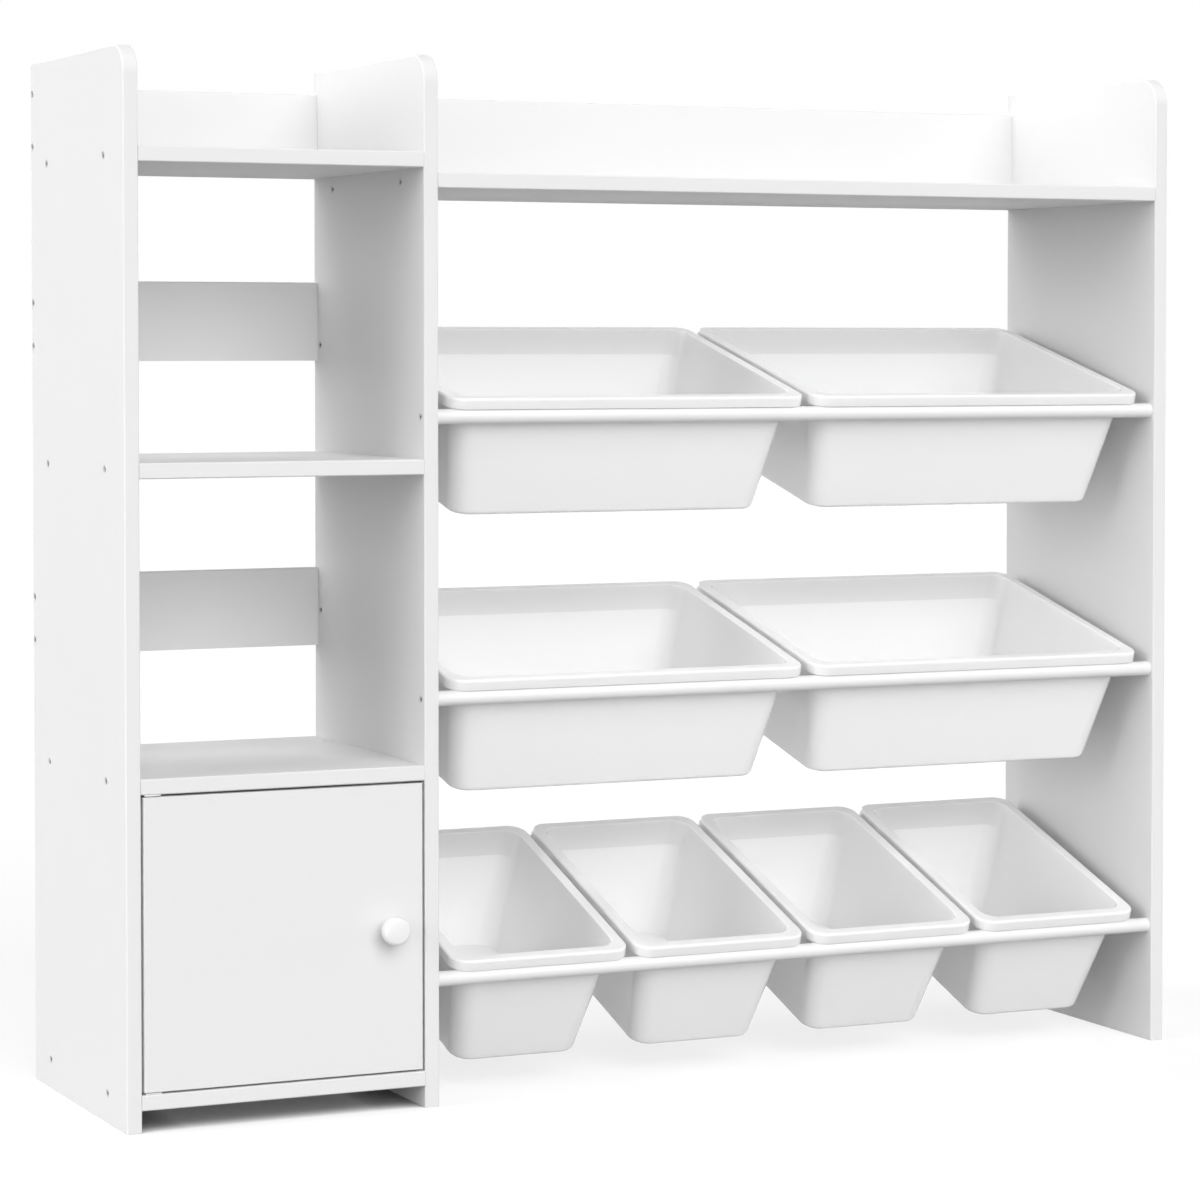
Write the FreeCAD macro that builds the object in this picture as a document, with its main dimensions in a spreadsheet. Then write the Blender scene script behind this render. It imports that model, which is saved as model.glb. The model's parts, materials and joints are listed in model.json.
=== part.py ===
"""Children's toy storage organizer: a cubby tower with a door beside a bay of lift-out bins on rods.

Millimetres, +Z up, front towards -Y. The origin is on the floor under the middle of the whole piece.
"""
import FreeCAD
import Part
import Sketcher
import os

SIZES = {
    # Carcass boards
    "panel_thickness": 15,
    "tower_inner_width": 288,
    "bay_inner_width": 822,
    "carcass_depth": 300,
    "carcass_height": 1025,
    "panel_corner_radius": 28,
    "board_edge_bevel": 1,
    # Undersides of the shelves, above the floor or below the panels' tops
    "cabinet_floor_height": 21,
    "cabinet_top_height": 320,
    "tower_top_shelf_drop": 110.2,
    "bay_shelf_drop": 129.8,
    # Rails across the back, above the shelf under them or below the panels' tops
    "rail_thickness": 9,
    "rail_width": 81,
    "lower_rail_rise": 96,
    "upper_rail_rise": 94.3,
    "top_rail_drop": 23.5,
    # Thin back board of the cabinet, held in grooves
    "back_board_thickness": 3,
    "back_board_inset": 8,
    "groove_depth": 5,
    "groove_clearance": 0.2,
    # Rods that carry the bins, the lowest row above the floor and the highest below the bay's shelf
    "rod_diameter": 15,
    "rod_front_inset": 10.5,
    "rod_rear_inset": 15.5,
    "top_row_drop": 221.9,
    "bottom_row_height": 123.2,
    "upper_rows_tilt": 14.3,
    "bottom_row_tilt": 18.7,
    # Bins, large ones in the upper rows and small ones in the lowest
    "large_bin_gap": 8,
    "large_bin_side_gap": 13.5,
    "small_bin_gap": 7.2,
    "small_bin_side_gap": 16.6,
    "bin_height": 127.5,
    "bin_wall": 2.4,
    "bin_floor": 3,
    "bin_wall_taper": 8.3,
    "bin_wall_corner_radius": 20,
    "bin_floor_bevel": 3,
    "bin_rim_overhang": 4.1,
    "bin_rim_corner_radius": 18,
    "bin_rim_bevel": 1.5,
    "bin_flange_thickness": 2.4,
    "bin_lip_height": 11.2,
    "bin_lip_thickness": 2.2,
    "bin_rest_clearance": 0.3,
    "bin_rod_clearance": 0.5,
    # Door on two pivots
    "door_gap": 2.2,
    "door_thickness": 15,
    "door_hinge_edge_round": 2,
    "hinge_setback": 9.5,
    "hinge_depth": 7,
    "pivot_plate_width": 16,
    "pivot_plate_length": 34,
    "pivot_plate_thickness": 1.5,
    "pivot_plate_front_inset": 0.8,
    "pivot_plate_corner_radius": 4,
    "pivot_pin_diameter": 5,
    "pivot_pin_length": 12,
    "pivot_clearance": 0.05,
    "bush_diameter": 9,
    "bush_length": 13,
    "bush_clearance": 0.05,
    # Door knob, turned
    "knob_diameter": 27.5,
    "knob_projection": 25,
    "knob_neck_diameter": 15,
    "knob_head_thickness": 13.5,
    "knob_face_bevel": 3.5,
    "knob_back_bevel": 2,
    "knob_setback": 35,
    # Magnetic catch under the cabinet's top
    "catch_width": 40,
    "catch_height": 13,
    "catch_depth": 14,
    "catch_side_inset": 18,
    "catch_gap": 0.3,
    "magnet_width": 26,
    "magnet_height": 7,
    "magnet_depth": 9,
    "magnet_clearance": 0.1,
    "strike_width": 34,
    "strike_height": 11,
    "strike_thickness": 1.2,
    "strike_top_inset": 1.5,
}

PICK_TOLERANCE = 0.001

# Places worked out from the sizes, as expressions for the document
OVERALL_WIDTH = "(3 * Sizes.panel_thickness + Sizes.tower_inner_width + Sizes.bay_inner_width)"
LEFT_OUTER = f"(-{OVERALL_WIDTH} / 2)"
TOWER_LEFT = f"({LEFT_OUTER} + Sizes.panel_thickness)"
DIVIDER_LEFT = f"({TOWER_LEFT} + Sizes.tower_inner_width)"
BAY_LEFT = f"({DIVIDER_LEFT} + Sizes.panel_thickness)"
BAY_RIGHT = f"({BAY_LEFT} + Sizes.bay_inner_width)"
BAY_MIDDLE = f"({BAY_LEFT} + Sizes.bay_inner_width / 2)"
FRONT = "((Sizes.knob_projection - Sizes.carcass_depth) / 2)"
BACK = f"({FRONT} + Sizes.carcass_depth)"
TOWER_TOP_SHELF = "(Sizes.carcass_height - Sizes.tower_top_shelf_drop)"
MIDDLE_SHELF = f"((Sizes.cabinet_top_height + {TOWER_TOP_SHELF}) / 2)"
BAY_SHELF = "(Sizes.carcass_height - Sizes.bay_shelf_drop)"
TOP_RAIL_TOP = "(Sizes.carcass_height - Sizes.top_rail_drop)"
CABINET_BOTTOM = "(Sizes.cabinet_floor_height + Sizes.panel_thickness)"
CABINET_HEIGHT = f"(Sizes.cabinet_top_height - {CABINET_BOTTOM})"
GROOVE_WIDTH = "(Sizes.back_board_thickness + 2 * Sizes.groove_clearance)"
GROOVE_FRONT = f"(Sizes.carcass_depth - Sizes.back_board_inset - {GROOVE_WIDTH})"
DOOR_LEFT = f"({TOWER_LEFT} + Sizes.door_gap)"
DOOR_BOTTOM = f"({CABINET_BOTTOM} + Sizes.door_gap)"
DOOR_WIDTH = "(Sizes.tower_inner_width - 2 * Sizes.door_gap)"
DOOR_HEIGHT = f"({CABINET_HEIGHT} - 2 * Sizes.door_gap)"
PIVOT_X = f"({DOOR_LEFT} + Sizes.hinge_setback)"
PIVOT_Y = f"({FRONT} + Sizes.hinge_depth)"
FRONT_ROD_Y = f"({FRONT} + Sizes.rod_front_inset)"
ROD_REACH = "(Sizes.carcass_depth - Sizes.rod_front_inset - Sizes.rod_rear_inset)"
ROD_PITCH = f"({ROD_REACH} / cos(Sizes.upper_rows_tilt))"
TOP_ROW = f"({BAY_SHELF} - Sizes.top_row_drop)"
MIDDLE_ROW = f"(({TOP_ROW} + Sizes.bottom_row_height) / 2)"
LIP_BOTTOM = "(Sizes.rod_diameter / 2 + Sizes.bin_rest_clearance)"
RIM_TOP = f"({LIP_BOTTOM} + Sizes.bin_lip_height)"
RIM_LENGTH = f"({ROD_PITCH} + 2 * Sizes.bin_rim_overhang)"
TUB_LENGTH_AT_RODS = f"({ROD_PITCH} - Sizes.rod_diameter - 2 * Sizes.bin_rod_clearance)"
TUB_LENGTH = f"({TUB_LENGTH_AT_RODS} + 2 * {RIM_TOP} * tan(Sizes.bin_wall_taper))"
TUB_SETBACKS = f"({RIM_LENGTH} - {TUB_LENGTH})"

# Each row of bins: its name, the height of its front rod, its tilt, the gaps that its bins leave, their names
BIN_ROWS = [
    ("top", TOP_ROW, "Sizes.upper_rows_tilt",
     "Sizes.large_bin_side_gap", "Sizes.large_bin_gap", ["left", "right"]),
    ("middle", MIDDLE_ROW, "Sizes.upper_rows_tilt",
     "Sizes.large_bin_side_gap", "Sizes.large_bin_gap", ["left", "right"]),
    ("bottom", "Sizes.bottom_row_height", "Sizes.bottom_row_tilt",
     "Sizes.small_bin_side_gap", "Sizes.small_bin_gap", ["first", "second", "third", "fourth"]),
]

doc = FreeCAD.newDocument("StorageOrganizer")


def make_sheet():
    """Write the driving dimensions into a spreadsheet with an alias each."""
    sizes = doc.addObject("Spreadsheet::Sheet", "Sizes")
    for row, (name, number) in enumerate(SIZES.items(), start=1):
        sizes.set(f"A{row}", name)
        sizes.set(f"B{row}", str(number))
        sizes.setAlias(f"B{row}", name)
    doc.recompute()
    return sizes


sheet = make_sheet()


def value(expression):
    """The number that an expression has now."""
    return float(sheet.evalExpression(expression))


def new_body(label):
    """An empty body whose label names its file."""
    body = doc.addObject("PartDesign::Body", label)
    body.Label = label
    return body


def place(body, right, back, up, turn="0"):
    """Bind a body's place, and a turn in degrees about X."""
    about_x = FreeCAD.Rotation(FreeCAD.Vector(1, 0, 0), value(turn))
    body.Placement = FreeCAD.Placement(FreeCAD.Vector(), about_x)
    body.setExpression("Placement.Base.x", right)
    body.setExpression("Placement.Base.y", back)
    body.setExpression("Placement.Base.z", up)
    if turn != "0":
        body.setExpression("Placement.Rotation.Angle", turn)


def new_sketch(body, name, role, right="0", up="0", out="0"):
    """A sketch on one of the body's own planes, moved by bound offsets."""
    planes = {feature.Role: feature for feature in body.Origin.OriginFeatures}
    sketch = body.newObject("Sketcher::SketchObject", name)
    sketch.AttachmentSupport = [(planes[role], "")]
    sketch.MapMode = "FlatFace"
    sketch.setExpression("AttachmentOffset.Base.x", right)
    sketch.setExpression("AttachmentOffset.Base.y", up)
    sketch.setExpression("AttachmentOffset.Base.z", out)
    return sketch


def bind(sketch, constraint, name, expression):
    """Add a constraint and drive it by an expression."""
    index = sketch.addConstraint(constraint)
    sketch.renameConstraint(index, name)
    sketch.setExpression(f"Constraints.{name}", expression)


def closed_lines(sketch, corners):
    """A closed run of straight lines through the corners."""
    count = len(corners)
    for index, corner in enumerate(corners):
        sketch.addGeometry(Part.LineSegment(corner, corners[(index + 1) % count]), False)
    for index in range(count):
        sketch.addConstraint(Sketcher.Constraint("Coincident", index, 2, (index + 1) % count, 1))


def rectangle(sketch, width, height, centred=False):
    """A bound rectangle with its lower left corner, or its middle, at the sketch's origin."""
    across = value(width)
    tall = value(height)
    left = -across / 2 if centred else 0
    low = -tall / 2 if centred else 0
    closed_lines(sketch, [
        FreeCAD.Vector(left, low),
        FreeCAD.Vector(left + across, low),
        FreeCAD.Vector(left + across, low + tall),
        FreeCAD.Vector(left, low + tall),
    ])
    for index, direction in enumerate(["Horizontal", "Vertical", "Horizontal", "Vertical"]):
        sketch.addConstraint(Sketcher.Constraint(direction, index))
    if centred:
        sketch.addConstraint(Sketcher.Constraint("Symmetric", 0, 1, 1, 2, -1, 1))
    else:
        sketch.addConstraint(Sketcher.Constraint("Coincident", 0, 1, -1, 1))
    bind(sketch, Sketcher.Constraint("DistanceX", 0, 1, 0, 2, across), "width", width)
    bind(sketch, Sketcher.Constraint("DistanceY", 1, 1, 1, 2, tall), "height", height)


def circle(sketch, diameter, name="diameter"):
    """A bound circle about the sketch's origin."""
    radius = value(diameter) / 2
    index = sketch.addGeometry(Part.Circle(FreeCAD.Vector(), FreeCAD.Vector(0, 0, 1), radius), False)
    sketch.addConstraint(Sketcher.Constraint("Coincident", index, 3, -1, 1))
    bind(sketch, Sketcher.Constraint("Diameter", index, 2 * radius), name, diameter)


def pad(body, name, sketch, length, reverse=False):
    """Extrude a sketch into material."""
    feature = body.newObject("PartDesign::Pad", name)
    feature.Profile = sketch
    feature.Reversed = reverse
    feature.setExpression("Length", length)
    doc.recompute()


def pocket(body, name, sketch, length, reverse=False):
    """Cut a sketch out of the body, and make sure that it cut something."""
    volume_before = body.Tip.Shape.Volume
    feature = body.newObject("PartDesign::Pocket", name)
    feature.Profile = sketch
    feature.Reversed = reverse
    feature.setExpression("Length", length)
    doc.recompute()
    if feature.Shape.Volume >= volume_before:
        raise RuntimeError(f"{body.Label}: {name} cuts nothing")


def revolve(body, name, sketch):
    """Revolve a sketch once round its own upright axis."""
    feature = body.newObject("PartDesign::Revolution", name)
    feature.Profile = sketch
    feature.ReferenceAxis = (sketch, ["V_Axis"])
    feature.Angle = 360
    doc.recompute()


def picked(kind, elements, test):
    """Names of the faces or edges whose bounding box passes a test."""
    names = [f"{kind}{index}" for index, element in enumerate(elements, start=1) if test(element.BoundBox)]
    if not names:
        raise RuntimeError(f"no {kind} passes the test")
    return names


def near(first, second):
    """True where two coordinates are the same place."""
    return abs(first - second) < PICK_TOLERANCE


def fillet(body, name, radius, test):
    """Round the edges of the body's last feature that pass a test."""
    base = body.Tip
    feature = body.newObject("PartDesign::Fillet", name)
    feature.Base = (base, picked("Edge", base.Shape.Edges, test))
    feature.setExpression("Radius", radius)
    doc.recompute()


def chamfer(body, name, size, test):
    """Bevel the edges of the body's last feature that pass a test."""
    base = body.Tip
    feature = body.newObject("PartDesign::Chamfer", name)
    feature.Base = (base, picked("Edge", base.Shape.Edges, test))
    feature.setExpression("Size", size)
    doc.recompute()


def draft(body, name, angle, bottom, top, reverse):
    """Lean the walls that run down to one level, about the plane of the rim's top."""
    base = body.Tip
    walls = picked("Face", base.Shape.Faces,
                   lambda box: near(box.ZMin, bottom) and not near(box.ZMax, bottom))
    neutral = picked("Face", base.Shape.Faces, lambda box: near(box.ZMin, top))
    feature = body.newObject("PartDesign::Draft", name)
    feature.Base = (base, walls)
    feature.NeutralPlane = (base, neutral[:1])
    feature.Reversed = reverse
    feature.setExpression("Angle", angle)
    doc.recompute()


def side_panel(label, left):
    """An upright board with its top front corner rounded off and its front and top edges eased."""
    body = new_body(label)
    sketch = new_sketch(body, f"{label}_outline", "YZ_Plane")
    rectangle(sketch, "Sizes.carcass_depth", "Sizes.carcass_height")
    pad(body, f"{label}_board", sketch, "Sizes.panel_thickness")
    top = value("Sizes.carcass_height")
    depth = value("Sizes.carcass_depth")
    fillet(body, f"{label}_corner", "Sizes.panel_corner_radius",
           lambda box: near(box.YMax, 0) and near(box.ZMin, top))
    chamfer(body, f"{label}_edges", "Sizes.board_edge_bevel",
            lambda box: near(box.XLength, 0) and not near(box.YMin, depth) and not near(box.ZMax, 0))
    place(body, left, FRONT, "0")
    return body


def panel_groove(body, face, reverse):
    """The upright groove for the cabinet's back board, in one face of a panel."""
    sketch = new_sketch(body, f"{body.Label}_groove_outline", "YZ_Plane",
                        right=GROOVE_FRONT, up=f"{CABINET_BOTTOM} - Sizes.groove_depth", out=face)
    rectangle(sketch, GROOVE_WIDTH, f"{CABINET_HEIGHT} + 2 * Sizes.groove_depth")
    pocket(body, f"{body.Label}_groove", sketch, "Sizes.groove_depth", reverse)


def shelf(label, left, width, underside):
    """A level board across one compartment, its front edges eased."""
    body = new_body(label)
    sketch = new_sketch(body, f"{label}_outline", "YZ_Plane")
    rectangle(sketch, "Sizes.carcass_depth", "Sizes.panel_thickness")
    pad(body, f"{label}_board", sketch, width)
    chamfer(body, f"{label}_edges", "Sizes.board_edge_bevel",
            lambda box: near(box.YMax, 0) and near(box.ZLength, 0))
    place(body, left, FRONT, underside)
    return body


def shelf_groove(body, level, reverse):
    """The groove for the cabinet's back board, across the top or underside of a shelf."""
    sketch = new_sketch(body, f"{body.Label}_groove_outline", "XY_Plane", up=GROOVE_FRONT, out=level)
    rectangle(sketch, "Sizes.tower_inner_width", GROOVE_WIDTH)
    pocket(body, f"{body.Label}_groove", sketch, "Sizes.groove_depth", reverse)


def rail(label, left, width, bottom, height):
    """An upright board across the back of one compartment, its top edges eased."""
    body = new_body(label)
    sketch = new_sketch(body, f"{label}_outline", "YZ_Plane")
    rectangle(sketch, "Sizes.rail_thickness", height)
    pad(body, f"{label}_board", sketch, width)
    top = value(height)
    chamfer(body, f"{label}_edges", "Sizes.board_edge_bevel",
            lambda box: near(box.ZMin, top) and near(box.YLength, 0))
    place(body, left, f"{BACK} - Sizes.rail_thickness", bottom)


def upstand_rail(label, left, width, shelf_underside):
    """A rail that stands on the back of a shelf."""
    bottom = f"({shelf_underside} + Sizes.panel_thickness)"
    rail(label, left, width, bottom, f"({TOP_RAIL_TOP} - {bottom})")


def cubby_rail(label, left, width, shelf_underside, rise):
    """A rail across a cubby, at its height above the shelf under it."""
    rail(label, left, width, f"({shelf_underside} + Sizes.panel_thickness + {rise})", "Sizes.rail_width")


def back_board():
    """The thin board behind the cabinet, standing in the groove of the cabinet's floor."""
    body = new_body("cabinet_back_board")
    sketch = new_sketch(body, "back_board_outline", "XZ_Plane")
    reach = "(Sizes.groove_depth - Sizes.groove_clearance)"
    rectangle(sketch, f"Sizes.tower_inner_width + 2 * {reach}",
              f"{CABINET_HEIGHT} + Sizes.groove_depth + {reach}")
    pad(body, "back_board_sheet", sketch, "Sizes.back_board_thickness", reverse=True)
    place(body, f"{TOWER_LEFT} - {reach}", f"{FRONT} + {GROOVE_FRONT} + Sizes.groove_clearance",
          f"{CABINET_BOTTOM} - Sizes.groove_depth")


def carcass_boards():
    """All the fixed boards of the tower and the bay."""
    left_panel = side_panel("left_side_panel", LEFT_OUTER)
    panel_groove(left_panel, "Sizes.panel_thickness", False)
    divider = side_panel("divider_panel", DIVIDER_LEFT)
    panel_groove(divider, "0", True)
    side_panel("right_side_panel", BAY_RIGHT)
    tower = (TOWER_LEFT, "Sizes.tower_inner_width")
    bay = (BAY_LEFT, "Sizes.bay_inner_width")
    cabinet_floor = shelf("cabinet_bottom_shelf", *tower, "Sizes.cabinet_floor_height")
    shelf_groove(cabinet_floor, "Sizes.panel_thickness", False)
    cabinet_top = shelf("cabinet_top_shelf", *tower, "Sizes.cabinet_top_height")
    shelf_groove(cabinet_top, "0", True)
    shelf("tower_middle_shelf", *tower, MIDDLE_SHELF)
    shelf("tower_top_shelf", *tower, TOWER_TOP_SHELF)
    shelf("bay_top_shelf", *bay, BAY_SHELF)
    cubby_rail("tower_lower_rail", *tower, "Sizes.cabinet_top_height", "Sizes.lower_rail_rise")
    cubby_rail("tower_upper_rail", *tower, MIDDLE_SHELF, "Sizes.upper_rail_rise")
    upstand_rail("tower_top_rail", *tower, TOWER_TOP_SHELF)
    upstand_rail("bay_top_rail", *bay, BAY_SHELF)
    back_board()


def rod(label, back, up):
    """A round rod across the bay."""
    body = new_body(label)
    sketch = new_sketch(body, f"{label}_section", "YZ_Plane")
    circle(sketch, "Sizes.rod_diameter")
    pad(body, f"{label}_bar", sketch, "Sizes.bay_inner_width")
    place(body, BAY_LEFT, back, up)


def bin_rim(body, width):
    """The turned-down rim: a flat flange with a lip round it that rests on the rods."""
    label = body.Label
    outline = new_sketch(body, f"{label}_rim_outline", "XY_Plane", out=LIP_BOTTOM)
    rectangle(outline, width, RIM_LENGTH, centred=True)
    pad(body, f"{label}_rim", outline, "Sizes.bin_lip_height")
    channel = new_sketch(body, f"{label}_channel_outline", "XY_Plane", out=LIP_BOTTOM)
    rectangle(channel, f"{width} - 2 * Sizes.bin_lip_thickness",
              f"{RIM_LENGTH} - 2 * Sizes.bin_lip_thickness", centred=True)
    pocket(body, f"{label}_channel", channel,
           "Sizes.bin_lip_height - Sizes.bin_flange_thickness", reverse=True)
    lip_side = value(width) / 2
    lip_inside = lip_side - value("Sizes.bin_lip_thickness")
    fillet(body, f"{label}_channel_corners", "Sizes.bin_rim_corner_radius - Sizes.bin_lip_thickness",
           lambda box: not near(box.ZLength, 0) and near(max(box.XMax, -box.XMin), lip_inside))
    fillet(body, f"{label}_rim_corners", "Sizes.bin_rim_corner_radius",
           lambda box: not near(box.ZLength, 0) and near(max(box.XMax, -box.XMin), lip_side))
    top = value(RIM_TOP)
    chamfer(body, f"{label}_rim_edge", "Sizes.bin_rim_bevel", lambda box: near(box.ZMin, top))


def bin_tub(body, width):
    """The tapered tub that hangs from the rim between the rods."""
    label = body.Label
    tub_width = f"({width} - {TUB_SETBACKS})"
    outline = new_sketch(body, f"{label}_tub_outline", "XY_Plane", out=RIM_TOP)
    rectangle(outline, tub_width, TUB_LENGTH, centred=True)
    pad(body, f"{label}_tub", outline, "Sizes.bin_height", reverse=True)
    cavity = new_sketch(body, f"{label}_cavity_outline", "XY_Plane", out=RIM_TOP)
    rectangle(cavity, f"{tub_width} - 2 * Sizes.bin_wall", f"{TUB_LENGTH} - 2 * Sizes.bin_wall", centred=True)
    pocket(body, f"{label}_cavity", cavity, "Sizes.bin_height - Sizes.bin_floor")
    top = value(RIM_TOP)
    bottom = top - value("Sizes.bin_height")
    floor = bottom + value("Sizes.bin_floor")
    draft(body, f"{label}_cavity_taper", "Sizes.bin_wall_taper", floor, top, False)
    draft(body, f"{label}_wall_taper", "Sizes.bin_wall_taper", bottom, top, True)
    fillet(body, f"{label}_cavity_corners", "Sizes.bin_wall_corner_radius - Sizes.bin_wall",
           lambda box: near(box.ZMin, floor) and not near(box.ZMax, floor))
    fillet(body, f"{label}_wall_corners", "Sizes.bin_wall_corner_radius",
           lambda box: near(box.ZMin, bottom) and not near(box.ZMax, bottom))
    chamfer(body, f"{label}_floor_edge", "Sizes.bin_floor_bevel",
            lambda box: near(box.ZMin, bottom) and near(box.ZMax, bottom))


def storage_bin(label, width, middle, front_height, tilt):
    """One moulded bin, hung on its two rods. Its own origin is midway between the rods' axes."""
    body = new_body(label)
    bin_rim(body, width)
    bin_tub(body, width)
    place(body, middle, f"{FRONT_ROD_Y} + {ROD_PITCH} / 2 * cos({tilt})",
          f"{front_height} + {ROD_PITCH} / 2 * sin({tilt})", tilt)


def bin_rows():
    """Two rods for each row, and the row's bins side by side about the middle of the bay."""
    for row, front_height, tilt, side_gap, gap, names in BIN_ROWS:
        rod(f"{row}_row_front_rod", FRONT_ROD_Y, front_height)
        rod(f"{row}_row_rear_rod", f"{FRONT_ROD_Y} + {ROD_PITCH} * cos({tilt})",
            f"{front_height} + {ROD_PITCH} * sin({tilt})")
        count = len(names)
        width = f"((Sizes.bay_inner_width - 2 * {side_gap} - {count - 1} * {gap}) / {count})"
        for index, name in enumerate(names):
            steps_from_middle = index - (count - 1) / 2
            middle = f"{BAY_MIDDLE} + ({steps_from_middle}) * ({width} + {gap})"
            storage_bin(f"{row}_row_bin_{name}", width, middle, front_height, tilt)


def cabinet_door():
    """The inset door: a board with eased edges, bored above and below for its bushes."""
    body = new_body("cabinet_door")
    sketch = new_sketch(body, "door_outline", "XZ_Plane")
    rectangle(sketch, DOOR_WIDTH, DOOR_HEIGHT)
    pad(body, "door_board", sketch, "Sizes.door_thickness", reverse=True)
    right = value(DOOR_WIDTH)
    fillet(body, "door_hinge_edges", "Sizes.door_hinge_edge_round",
           lambda box: near(box.XMax, 0) and near(box.YLength, 0))
    chamfer(body, "door_free_edge", "Sizes.board_edge_bevel",
            lambda box: near(box.XMin, right) and near(box.YMax, 0))
    for end, level, reverse in [("lower", "0", True), ("upper", DOOR_HEIGHT, False)]:
        bore = new_sketch(body, f"door_{end}_bore_circle", "XY_Plane",
                          right="Sizes.hinge_setback", up="Sizes.hinge_depth", out=level)
        circle(bore, "Sizes.bush_diameter + 2 * Sizes.bush_clearance")
        pocket(body, f"door_{end}_bore", bore, "Sizes.bush_length", reverse)
    place(body, DOOR_LEFT, FRONT, DOOR_BOTTOM)


def pivot_bush(label, bottom):
    """A plain bush in the door's edge for a pivot pin."""
    body = new_body(label)
    sketch = new_sketch(body, f"{label}_section", "XY_Plane")
    circle(sketch, "Sizes.bush_diameter", "outside")
    circle(sketch, "Sizes.pivot_pin_diameter + 2 * Sizes.pivot_clearance", "bore")
    pad(body, f"{label}_ring", sketch, "Sizes.bush_length")
    place(body, PIVOT_X, PIVOT_Y, bottom)


def pivot_plate(label, bottom, pin_level, pin_down):
    """A plate on the carcass with the pin that the door turns on."""
    body = new_body(label)
    front = "(Sizes.pivot_plate_front_inset - Sizes.hinge_depth)"
    sketch = new_sketch(body, f"{label}_outline", "XY_Plane", right="-Sizes.pivot_plate_width / 2", up=front)
    rectangle(sketch, "Sizes.pivot_plate_width", "Sizes.pivot_plate_length")
    pad(body, f"{label}_leaf", sketch, "Sizes.pivot_plate_thickness")
    rear = value(f"{front} + Sizes.pivot_plate_length")
    fillet(body, f"{label}_corners", "Sizes.pivot_plate_corner_radius",
           lambda box: near(box.YMin, rear) and near(box.XLength, 0))
    pin = new_sketch(body, f"{label}_pin_circle", "XY_Plane", out=pin_level)
    circle(pin, "Sizes.pivot_pin_diameter")
    pad(body, f"{label}_pin", pin, "Sizes.pivot_pin_length", reverse=pin_down)
    place(body, PIVOT_X, PIVOT_Y, bottom)


def door_pivots():
    """The pins on the cabinet's floor and top, and their bushes in the door."""
    pivot_plate("lower_pivot_plate", CABINET_BOTTOM, "Sizes.pivot_plate_thickness", False)
    pivot_plate("upper_pivot_plate", "Sizes.cabinet_top_height - Sizes.pivot_plate_thickness", "0", True)
    pivot_bush("lower_pivot_bush", DOOR_BOTTOM)
    pivot_bush("upper_pivot_bush", f"{DOOR_BOTTOM} + {DOOR_HEIGHT} - Sizes.bush_length")


def door_knob():
    """The turned knob: a round neck under a disc head with eased edges."""
    body = new_body("door_knob")
    neck = new_sketch(body, "knob_neck_profile", "XZ_Plane")
    rectangle(neck, "Sizes.knob_neck_diameter / 2", "Sizes.knob_projection")
    revolve(body, "knob_neck", neck)
    head_start = "(Sizes.knob_projection - Sizes.knob_head_thickness)"
    head = new_sketch(body, "knob_head_profile", "XZ_Plane", up=head_start)
    rectangle(head, "Sizes.knob_diameter / 2", "Sizes.knob_head_thickness")
    revolve(body, "knob_head", head)
    back = value(head_start)
    face = value("Sizes.knob_projection")
    head_width = value("Sizes.knob_diameter")
    chamfer(body, "knob_face_edge", "Sizes.knob_face_bevel", lambda box: near(box.ZMin, face))
    chamfer(body, "knob_back_edge", "Sizes.knob_back_bevel",
            lambda box: near(box.ZMax, back) and near(box.XLength, head_width))
    place(body, f"{DOOR_LEFT} + {DOOR_WIDTH} - Sizes.knob_setback", FRONT,
          f"{DOOR_BOTTOM} + {DOOR_HEIGHT} / 2", "90")


def door_catch():
    """A magnetic catch under the cabinet's top, and the steel strike on the door's back that it holds."""
    catch_middle = f"({DIVIDER_LEFT} - Sizes.catch_side_inset - Sizes.catch_width / 2)"
    strike_front = f"({FRONT} + Sizes.door_thickness)"
    catch_front = f"({strike_front} + Sizes.strike_thickness + Sizes.catch_gap)"
    strike_middle = f"({DOOR_BOTTOM} + {DOOR_HEIGHT} - Sizes.strike_top_inset - Sizes.strike_height / 2)"
    housing = new_body("catch_housing")
    outline = new_sketch(housing, "catch_outline", "XZ_Plane")
    rectangle(outline, "Sizes.catch_width", "Sizes.catch_height", centred=True)
    pad(housing, "catch_block", outline, "Sizes.catch_depth", reverse=True)
    seat = new_sketch(housing, "magnet_seat_outline", "XZ_Plane")
    rectangle(seat, "Sizes.magnet_width + 2 * Sizes.magnet_clearance",
              "Sizes.magnet_height + 2 * Sizes.magnet_clearance", centred=True)
    pocket(housing, "magnet_seat", seat, "Sizes.magnet_depth")
    catch_level = "(Sizes.cabinet_top_height - Sizes.catch_height / 2)"
    place(housing, catch_middle, catch_front, catch_level)
    magnet = new_body("catch_magnet")
    magnet_outline = new_sketch(magnet, "magnet_outline", "XZ_Plane")
    rectangle(magnet_outline, "Sizes.magnet_width", "Sizes.magnet_height", centred=True)
    pad(magnet, "magnet_block", magnet_outline, "Sizes.magnet_depth", reverse=True)
    place(magnet, catch_middle, catch_front, catch_level)
    strike = new_body("catch_strike_plate")
    strike_outline = new_sketch(strike, "strike_outline", "XZ_Plane")
    rectangle(strike_outline, "Sizes.strike_width", "Sizes.strike_height", centred=True)
    pad(strike, "strike_sheet", strike_outline, "Sizes.strike_thickness", reverse=True)
    place(strike, catch_middle, strike_front, strike_middle)


def bodies():
    """The sub-parts of the document."""
    return [item for item in doc.Objects if item.TypeId == "PartDesign::Body"]


def check_document():
    """Stop if any object of the document failed, or any body has no sound solid."""
    for item in doc.Objects:
        if "Invalid" in item.State or "Error" in item.State:
            raise RuntimeError(f"{item.Label} failed: {item.State}")
    for body in bodies():
        shape = body.Shape
        if shape.isNull() or not shape.isValid() or len(shape.Solids) != 1:
            raise RuntimeError(f"{body.Label} has no sound solid")


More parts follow.
